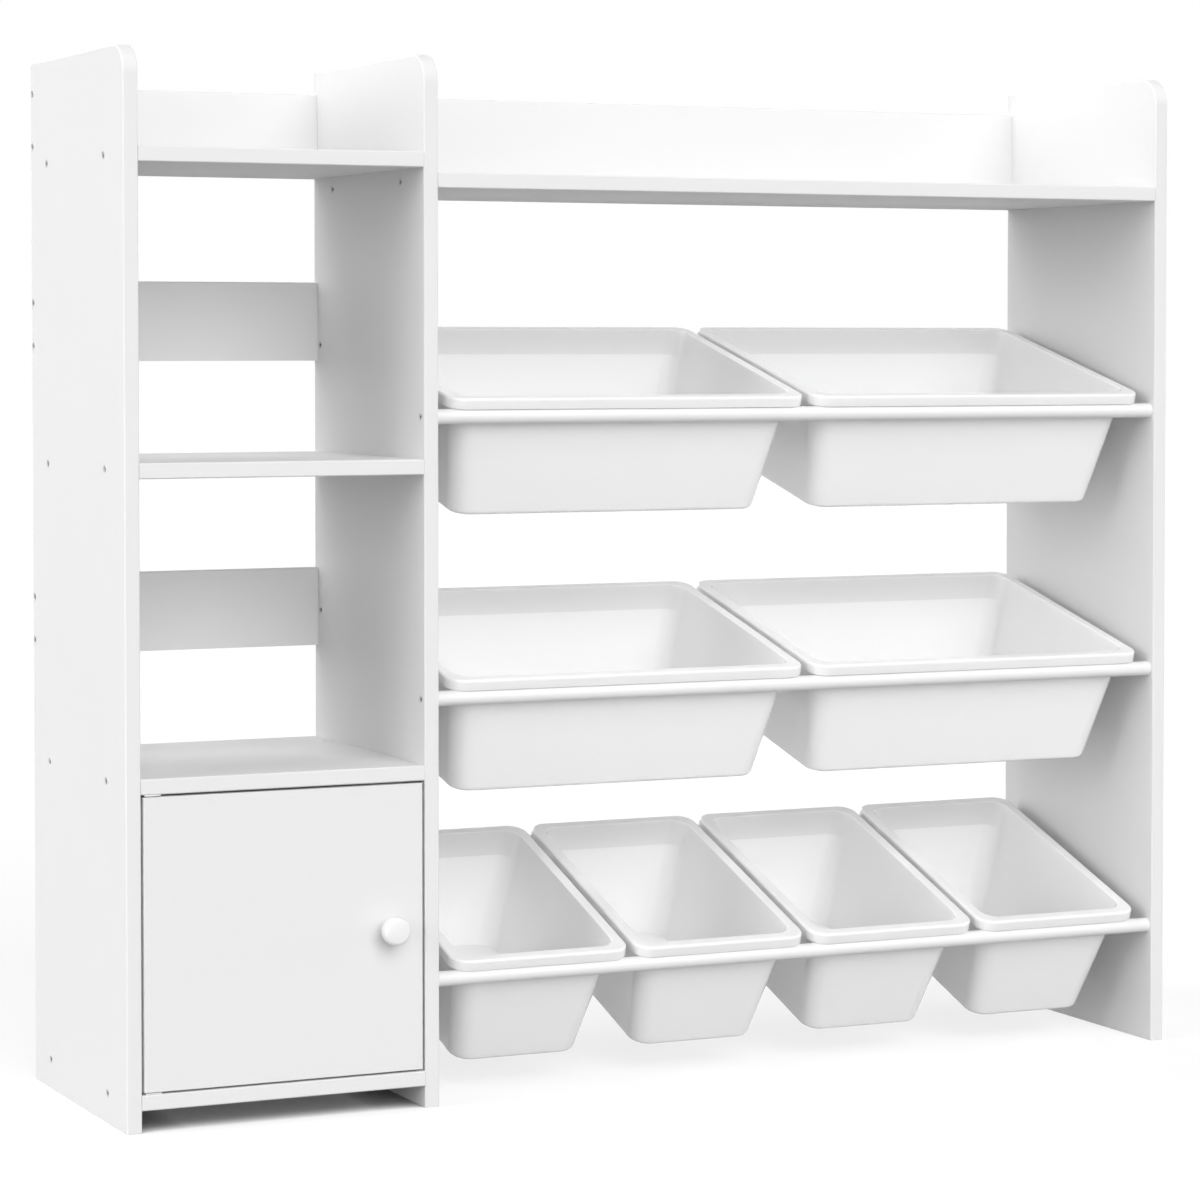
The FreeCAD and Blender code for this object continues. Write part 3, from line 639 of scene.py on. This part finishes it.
def bin_section(settings, rod_radius):
    """A bin's section as (inset, level, corner radius), from the inside floor over the rim to the underside.

    Insets are from the rim's outside, and levels from the rods' axes. Also gives the number of the point on
    the inside at the rods' underside.
    """
    lean = math.tan(settings.taper)
    slope = math.cos(settings.taper)
    lip_bottom = rod_radius + settings.rest_clearance
    top = lip_bottom + settings.lip_height
    underside = top - settings.height
    inside_floor = underside + settings.floor
    outer_setback = settings.overhang + rod_radius + settings.rod_clearance - top * lean
    inner_setback = outer_setback + settings.wall
    inner_corner = settings.wall_corner - settings.wall

    def wall(setback, level):
        return setback + (top - level) * lean

    def rounded(points, setback, corner):
        return [(inset, level, corner + wall(setback, level) - inset) for inset, level in points]

    out, down = HALF_TURN, HALF_TURN + QUARTER_TURN
    level = inside_floor + settings.inside_round
    section = rounded(arc(wall(inner_setback, level) + settings.inside_round / slope, level,
                          settings.inside_round, down, out + settings.taper), inner_setback, inner_corner)
    rod_ring = len(section)
    section += rounded([(wall(inner_setback, -rod_radius), -rod_radius)], inner_setback, inner_corner)
    level = top - settings.mouth_round
    section += rounded(arc(wall(inner_setback, level) - settings.mouth_round / slope, level,
                           settings.mouth_round, settings.taper, QUARTER_TURN), inner_setback, inner_corner)
    rim = arc(settings.rim_round, top - settings.rim_round, settings.rim_round,
              QUARTER_TURN, out, ROUND_STEPS)
    rim += arc(settings.lip_round, lip_bottom + settings.lip_round, settings.lip_round, out, down)
    rim += arc(settings.lip_thickness - settings.lip_round, lip_bottom + settings.lip_round,
               settings.lip_round, down, FULL_TURN)
    flange_under = top - settings.flange
    rim.append((settings.lip_thickness, flange_under))
    section += [(inset, level, settings.rim_corner - inset) for inset, level in rim]
    section.append((wall(outer_setback, flange_under), flange_under, settings.wall_corner))
    level = underside + settings.floor_round
    section += rounded(arc(wall(outer_setback, level) + settings.floor_round / slope, level,
                           settings.floor_round, out + settings.taper, down, ROUND_STEPS),
                       outer_setback, settings.wall_corner)
    return section, rod_ring


def bin_ring(form, half_width, half_length, corner, level, steps):
    """A ring of points round a rounded rectangle."""
    ring = []
    for quarter, (right, back) in enumerate(((1, 1), (-1, 1), (-1, -1), (1, -1))):
        for step in range(steps + 1):
            angle = QUARTER_TURN * (quarter + step / steps)
            ring.append(form.verts.new((right * (half_width - corner) + corner * math.cos(angle),
                                        back * (half_length - corner) + corner * math.sin(angle), level)))
    return ring


def bin_form(settings, width, pitch, rod_radius):
    """A bin's skin about the point midway between its rods, with a painted-shade mask where a rod is behind
    the wall.
    """
    form = bmesh.new()
    rod_shade_layer = form.faces.layers.float.new("backed_wall")
    half_length = pitch / 2 + settings.overhang
    section, rod_ring = bin_section(settings, rod_radius)
    rings = [bin_ring(form, width / 2 - inset, half_length - inset, corner, level, settings.corner_steps)
             for inset, level, corner in section]
    form.faces.new(rings[0])
    form.faces.new(reversed(rings[-1]))
    rod_face = pitch / 2 - rod_radius - settings.rod_clearance - settings.wall
    for place, (first, second) in enumerate(zip(rings, rings[1:])):
        for index in range(len(first)):
            face = form.faces.new((first[index - 1], first[index], second[index], second[index - 1]))
            # painted shade mask: the band from the rods' underside up to the rim, strongest where a rod lies
            # close behind the wall
            if place == rod_ring:
                gap = rod_face - abs(face.calc_center_median().y)
                face[rod_shade_layer] = min(1, max(0, 1 - gap / settings.haze))
    bmesh.ops.recalc_face_normals(form, faces=form.faces)
    return form


class ORGANIZER_OT_bins(bpy.types.Operator):
    """Build the lift-out bins on their rods"""
    bl_idname = "organizer.bins"
    bl_label = "Bins"

    def execute(self, context):
        settings = context.scene.organizer.bins
        plastic = bin_material(settings)
        for row, names in BIN_ROWS.items():
            front = middle(f"{row}_row_front_rod")
            rear = middle(f"{row}_row_rear_rod")
            low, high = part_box(f"{row}_row_front_rod")
            tilt = math.atan2(rear.z - front.z, rear.y - front.y)
            for name in names:
                node = f"{row}_row_bin_{name}"
                left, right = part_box(node)
                form = bin_form(settings, right.x - left.x, (rear - front).length, (high.z - low.z) / 2)
                between = (front + rear) / 2
                hung = Matrix.Translation(((left.x + right.x) / 2, between.y, between.z))
                form.transform(hung @ Matrix.Rotation(tilt, 4, "X"))
                piece = new_piece(f"moulded_{node}", form, plastic)
                even_normals(piece)
                hand_over(piece, node)
        return {"FINISHED"}


def knob_profile(settings, radius, projection):
    """The knob's outline as (distance from its axis, distance from the door), from neck to face."""
    neck = settings.neck_diameter / 2
    head_back = projection - settings.head_thickness
    hollow = [(neck + settings.neck_round + d, head_back - settings.neck_round + h) for d, h in
              arc(0, 0, settings.neck_round, HALF_TURN, QUARTER_TURN)]
    back = arc(radius - settings.back_round, head_back + settings.back_round, settings.back_round,
               -QUARTER_TURN, 0, ROUND_STEPS)
    shoulder = projection - settings.face_dome
    flat = radius - settings.face_round
    face = arc(flat, shoulder - settings.face_round, settings.face_round, 0, QUARTER_TURN, FACE_ROUND_STEPS)
    inward = [1 - step / DOME_STEPS for step in range(1, DOME_STEPS)]
    dome = [(flat * share_out, shoulder + settings.face_dome * (1 - share_out ** 2)) for share_out in inward]
    return [(neck, 0)] + hollow + back + face + dome


def knob_form(settings, axis, door_face, radius, projection):
    """The turned knob on the door's face."""
    form = bmesh.new()
    turns = [FULL_TURN * step / settings.turn_steps for step in range(settings.turn_steps)]
    rings = [[form.verts.new((axis.x + distance * math.cos(turn), door_face - rise,
                              axis.z + distance * math.sin(turn))) for turn in turns]
             for distance, rise in knob_profile(settings, radius, projection)]
    for first, second in zip(rings, rings[1:]):
        for index in range(len(first)):
            form.faces.new((first[index - 1], first[index], second[index], second[index - 1]))
    form.faces.new(rings[0])
    tip = form.verts.new((axis.x, door_face - projection, axis.z))
    for index in range(settings.turn_steps):
        form.faces.new((rings[-1][index - 1], rings[-1][index], tip))
    bmesh.ops.recalc_face_normals(form, faces=form.faces)
    return form


class ORGANIZER_OT_door(bpy.types.Operator):
    """Build the cabinet door and its knob"""
    bl_idname = "organizer.door"
    bl_label = "Door"

    def execute(self, context):
        settings = context.scene.organizer
        form = merged_form("cabinet_door")
        soften(form, settings.boards.edge_round)
        door = new_piece("painted_cabinet_door", form, bpy.data.materials["white_board_lacquer"])
        even_normals(door)
        hand_over(door, "cabinet_door")
        low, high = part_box("door_knob")
        form = knob_form(settings.knob, middle("door_knob"), high.y, (high.x - low.x) / 2, high.y - low.y)
        knob = new_piece("turned_door_knob", form, knob_material(settings.knob, settings.rods.paint))
        hand_over(knob, "door_knob")
        return {"FINISHED"}


class ORGANIZER_OT_fittings(bpy.types.Operator):
    """Build the door's pivots and its magnetic catch"""
    bl_idname = "organizer.fittings"
    bl_label = "Fittings"

    def execute(self, context):
        settings = context.scene.organizer.fittings
        materials = {
            "plated_steel": steel_material(),
            "white_nylon": nylon_material(),
            "dark_magnet": magnet_material(),
        }
        for node in FITTINGS:
            form = merged_form(node)
            soften(form, settings.edge_round)
            piece = new_piece(f"finished_{node}", form, materials[SLOTS[node]])
            even_normals(piece)
            hand_over(piece, node)
        return {"FINISHED"}


def screw_form(settings):
    """A sunk screw head with a six-sided socket. Its axis is +Z and its face at the origin."""
    form = bmesh.new()
    radius, bevel, steps = settings.head_diameter / 2, settings.head_bevel, settings.head_steps

    def ring(distance, level, count):
        turns = [FULL_TURN * step / count for step in range(count)]
        return [form.verts.new((distance * math.cos(turn), distance * math.sin(turn), level))
                for turn in turns]

    def close(first, second):
        for index in range(len(first)):
            form.faces.new((first[index - 1], first[index], second[index], second[index - 1]))

    bottom = ring(radius, -settings.head_depth, steps)
    shoulder = ring(radius, -bevel, steps)
    face = ring(radius - bevel, 0, steps)
    mouth = ring(settings.socket_width / 2, 0, SOCKET_SIDES)
    floor = ring(settings.socket_width / 2, -settings.socket_depth, SOCKET_SIDES)
    form.faces.new(bottom)
    close(bottom, shoulder)
    close(shoulder, face)
    close(mouth, floor)
    form.faces.new(floor)
    rims = [form.edges.get((loop[index - 1], loop[index]))
            for loop in (face, mouth) for index in range(len(loop))]
    bmesh.ops.triangle_fill(form, edges=rims, use_beauty=True)
    bmesh.ops.recalc_face_normals(form, faces=form.faces)
    return form


def screw_tree():
    """Geometry nodes that set a screw on each point, facing as it says, with the socket turned at random."""
    tree = bpy.data.node_groups.new("set_screws", "GeometryNodeTree")
    for label, kind in (("Places", "NodeSocketGeometry"), ("Screw", "NodeSocketObject"),
                        ("Seed", "NodeSocketInt"), ("Steel", "NodeSocketMaterial")):
        tree.interface.new_socket(label, in_out="INPUT", socket_type=kind)
    tree.interface.new_socket("Screws", in_out="OUTPUT", socket_type="NodeSocketGeometry")
    given = tree.nodes.new("NodeGroupInput")
    result = tree.nodes.new("NodeGroupOutput")

    def attribute(name, kind):
        node = tree.nodes.new("GeometryNodeInputNamedAttribute")
        node.data_type = kind
        node.inputs["Name"].default_value = name
        return node.outputs["Attribute"]

    screw = tree.nodes.new("GeometryNodeObjectInfo")
    tree.links.new(given.outputs["Screw"], screw.inputs["Object"])
    align = tree.nodes.new("FunctionNodeAlignRotationToVector")
    align.axis = "Z"
    tree.links.new(attribute("facing", "FLOAT_VECTOR"), align.inputs["Vector"])
    turns = tree.nodes.new("FunctionNodeRandomValue")
    turns.data_type = "FLOAT"
    turns.inputs[3].default_value = FULL_TURN  # Max of the float sockets
    tree.links.new(given.outputs["Seed"], turns.inputs["Seed"])
    spin = tree.nodes.new("FunctionNodeAxisAngleToRotation")
    spin.inputs["Axis"].default_value = (0, 0, 1)
    tree.links.new(turns.outputs[1], spin.inputs["Angle"])
    turned = tree.nodes.new("FunctionNodeRotateRotation")
    turned.rotation_space = "LOCAL"
    tree.links.new(align.outputs["Rotation"], turned.inputs["Rotation"])
    tree.links.new(spin.outputs["Rotation"], turned.inputs["Rotate By"])
    spread = tree.nodes.new("GeometryNodeInstanceOnPoints")
    tree.links.new(given.outputs["Places"], spread.inputs["Points"])
    tree.links.new(screw.outputs["Geometry"], spread.inputs["Instance"])
    tree.links.new(turned.outputs["Rotation"], spread.inputs["Rotation"])
    tree.links.new(attribute("size", "FLOAT"), spread.inputs["Scale"])
    whole = tree.nodes.new("GeometryNodeRealizeInstances")
    tree.links.new(spread.outputs["Instances"], whole.inputs["Geometry"])
    plated = tree.nodes.new("GeometryNodeSetMaterial")
    tree.links.new(whole.outputs["Geometry"], plated.inputs["Geometry"])
    tree.links.new(given.outputs["Steel"], plated.inputs["Material"])
    tree.links.new(plated.outputs["Geometry"], result.inputs["Screws"])
    return tree


def fitting_screws(settings):
    """Screws of the pivot plates, the catch and the knob: body, place, facing and whether small."""
    up, down, inwards = Vector((0, 0, 1)), Vector((0, 0, -1)), Vector((0, 1, 0))
    plate_low, plate_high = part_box("lower_pivot_plate")
    upper_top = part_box("upper_pivot_plate")[1].z
    across, rear = middle("lower_pivot_plate").x, plate_high.y - settings.plate_inset
    catch_low, catch_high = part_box("catch_housing")
    catch_middle = middle("catch_housing").y
    knob = middle("door_knob")
    door_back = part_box("cabinet_door")[1].y
    screws = [
        ("carcass", Vector((across, rear, plate_low.z + settings.plate_leaf)), up, True),
        ("carcass", Vector((across, rear, upper_top - settings.plate_leaf)), down, True),
        ("door", Vector((knob.x, door_back, knob.z)), inwards, False),
    ]
    for end in (catch_low.x + settings.catch_inset, catch_high.x - settings.catch_inset):
        screws.append(("carcass", Vector((end, catch_middle, catch_low.z)), down, True))
    return screws


class ORGANIZER_OT_screws(bpy.types.Operator):
    """Set the screws of the boards and fittings"""
    bl_idname = "organizer.screws"
    bl_label = "Screws"

    def execute(self, context):
        settings = context.scene.organizer.screws
        steel = bpy.data.materials["plated_steel_finish"]
        pattern = new_piece("screw_pattern", screw_form(settings), steel)
        tree = screw_tree()
        sockets = {item.name: item.identifier for item in tree.interface.items_tree if item.in_out == "INPUT"}
        sunk = [("carcass", place - Vector((facing * settings.sink, 0, 0)), Vector((facing, 0, 0)), False)
                for _, facing, place in screw_places(settings)]
        screws = sunk + fitting_screws(settings)
        for body in ("carcass", "door"):
            chosen = [screw for screw in screws if screw[0] == body]
            mesh = bpy.data.meshes.new(f"{body}_screws")
            mesh.from_pydata([place for _, place, _, _ in chosen], [], [])
            mesh.attributes.new("facing", "FLOAT_VECTOR", "POINT")
            mesh.attributes.new("size", "FLOAT", "POINT")
            for index, (_, _, direction, small) in enumerate(chosen):
                mesh.attributes["facing"].data[index].vector = direction
                mesh.attributes["size"].data[index].value = settings.small_scale if small else 1
            piece = bpy.data.objects.new(f"{body}_screws", mesh)
            context.scene.collection.objects.link(piece)
            setting = piece.modifiers.new("set_screws", "NODES")
            setting.node_group = tree
            setting[sockets["Screw"]] = pattern
            setting[sockets["Seed"]] = settings.seed
            setting[sockets["Steel"]] = steel
            settle(piece)
            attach(piece, body)
        bpy.data.objects.remove(pattern)
        return {"FINISHED"}


def add_lamp(name, round_right, height, width, strength):
    """A far lamp that stands so many degrees round from the front, so high, and looks so wide."""
    lamp = bpy.data.lights.new(name, "SUN")
    lamp.angle = math.radians(width)
    lamp.energy = strength
    holder = bpy.data.objects.new(name, lamp)
    holder.rotation_euler = (math.radians(90 - height), 0, math.radians(round_right))
    bpy.context.scene.collection.objects.link(holder)


def map_range(tree, value, from_low, from_high, to_low, to_high):
    """A value carried from one range to another and held inside it."""
    node = tree.nodes.new("ShaderNodeMapRange")
    for name, limit in (("From Min", from_low), ("From Max", from_high),
                        ("To Min", to_low), ("To Max", to_high)):
        node.inputs[name].default_value = limit
    tree.links.new(value, node.inputs["Value"])
    return node.outputs["Result"]


def seen_rays(tree):
    """1 for what the camera sees, straight or in a reflection."""
    path = tree.nodes.new("ShaderNodeLightPath")
    mirrored = math_node(tree, "MAXIMUM", path.outputs["Is Glossy Ray"], path.outputs["Is Transmission Ray"])
    return math_node(tree, "MAXIMUM", path.outputs["Is Camera Ray"], mirrored)


def studio_world(settings):
    """Even light all round, mostly from low down, and white where it is seen itself."""
    world = bpy.data.worlds.new("studio")
    world.use_nodes = True
    tree = world.node_tree
    background = tree.nodes["Background"]
    direction = tree.nodes.new("ShaderNodeSeparateXYZ")
    tree.links.new(tree.nodes.new("ShaderNodeTexCoord").outputs["Generated"], direction.inputs["Vector"])
    lowness = map_range(tree, direction.outputs["Z"], 0, settings.sky_top, 1, 0)
    by_side = map_range(tree, direction.outputs["Y"], -settings.sky_blend, settings.sky_blend,
                        settings.front_sky, settings.back_sky)
    low_light = math_node(tree, "MULTIPLY", lowness, by_side)
    level = tree.nodes.new("ShaderNodeMix")
    unseen, seen = level.inputs[2:4]  # A and B of the float sockets
    tree.links.new(math_node(tree, "MAXIMUM", low_light, settings.high_sky), unseen)
    seen.default_value = 1
    tree.links.new(seen_rays(tree), level.inputs["Factor"])
    tree.links.new(level.outputs[0], background.inputs["Strength"])
    background.inputs["Color"].default_value = (1, 1, 1, 1)
    return world


def floor_material(settings):
    """A pale floor that is seen as white, with soft shadows that stay dark in a low gap."""
    material = bpy.data.materials.new("studio_floor")
    material.use_nodes = True
    tree = material.node_tree
    tree.nodes.remove(tree.nodes["Principled BSDF"])
    matt = tree.nodes.new("ShaderNodeBsdfDiffuse")
    matt.inputs["Color"].default_value = (settings.floor_tone,) * 3 + (1,)
    room = tree.nodes.new("ShaderNodeAmbientOcclusion")
    room.inputs["Distance"].default_value = settings.dark_gap
    open_floor = map_range(tree, room.outputs["AO"], settings.dark_until, settings.lifted_from,
                           0, settings.floor_glow)
    glow = tree.nodes.new("ShaderNodeEmission")
    tree.links.new(math_node(tree, "MULTIPLY", seen_rays(tree), open_floor), glow.inputs["Strength"])
    lifted = tree.nodes.new("ShaderNodeAddShader")
    tree.links.new(matt.outputs["BSDF"], lifted.inputs[0])
    tree.links.new(glow.outputs["Emission"], lifted.inputs[1])
    tree.links.new(lifted.outputs["Shader"], tree.nodes["Material Output"].inputs["Surface"])
    return material


class ORGANIZER_OT_stage(bpy.types.Operator):
    """Set the camera, the lamps and the floor"""
    bl_idname = "organizer.stage"
    bl_label = "Stage"

    def execute(self, context):
        settings = context.scene.organizer.stage
        scene = context.scene
        camera = bpy.data.cameras.new("camera")
        camera.lens = settings.lens
        camera.shift_x, camera.shift_y = settings.shift
        holder = bpy.data.objects.new("camera", camera)
        holder.location = settings.place
        holder.rotation_euler = (QUARTER_TURN - settings.pitch, 0, -settings.yaw)
        scene.collection.objects.link(holder)
        scene.camera = holder
        scene.world = studio_world(settings)
        for name, (round_right, height, width) in LAMPS.items():
            add_lamp(name, round_right, height, width, getattr(settings, name))
        form = bmesh.new()
        bmesh.ops.create_grid(form, x_segments=1, y_segments=1, size=settings.floor_reach)
        floor = new_piece("studio_floor", form, floor_material(settings))
        scene.view_settings.view_transform = "Standard"
        return {"FINISHED"}


BUILDERS = (ORGANIZER_OT_boards, ORGANIZER_OT_rods, ORGANIZER_OT_bins, ORGANIZER_OT_door,
            ORGANIZER_OT_fittings, ORGANIZER_OT_screws, ORGANIZER_OT_stage)


class ORGANIZER_PT_sidebar(bpy.types.Panel):
    """The organizer's builders in the sidebar"""
    bl_idname = "ORGANIZER_PT_sidebar"
    bl_label = "Organizer"
    bl_space_type = "VIEW_3D"
    bl_region_type = "UI"
    bl_category = "Organizer"

    def draw(self, context):
        for builder in BUILDERS:
            self.layout.operator(builder.bl_idname)


CLASSES = (BoardSettings, RodSettings, BinSettings, KnobSettings, FittingSettings, ScrewSettings,
           StageSettings, OrganizerSettings, *BUILDERS, ORGANIZER_PT_sidebar)


def register():
    """Make the settings, builders and sidebar known to Blender."""
    for entry in CLASSES:
        bpy.utils.register_class(entry)
    bpy.types.Scene.organizer = PointerProperty(type=OrganizerSettings)


def unregister():
    """Take them out again."""
    del bpy.types.Scene.organizer
    for entry in reversed(CLASSES):
        bpy.utils.unregister_class(entry)


def main():
    """Build every piece and the stage."""
    register()
    bpy.ops.organizer.boards()
    bpy.ops.organizer.rods()
    bpy.ops.organizer.bins()
    bpy.ops.organizer.door()
    bpy.ops.organizer.fittings()
    bpy.ops.organizer.screws()
    bpy.ops.organizer.stage()


if __name__ == "__main__":
    main()
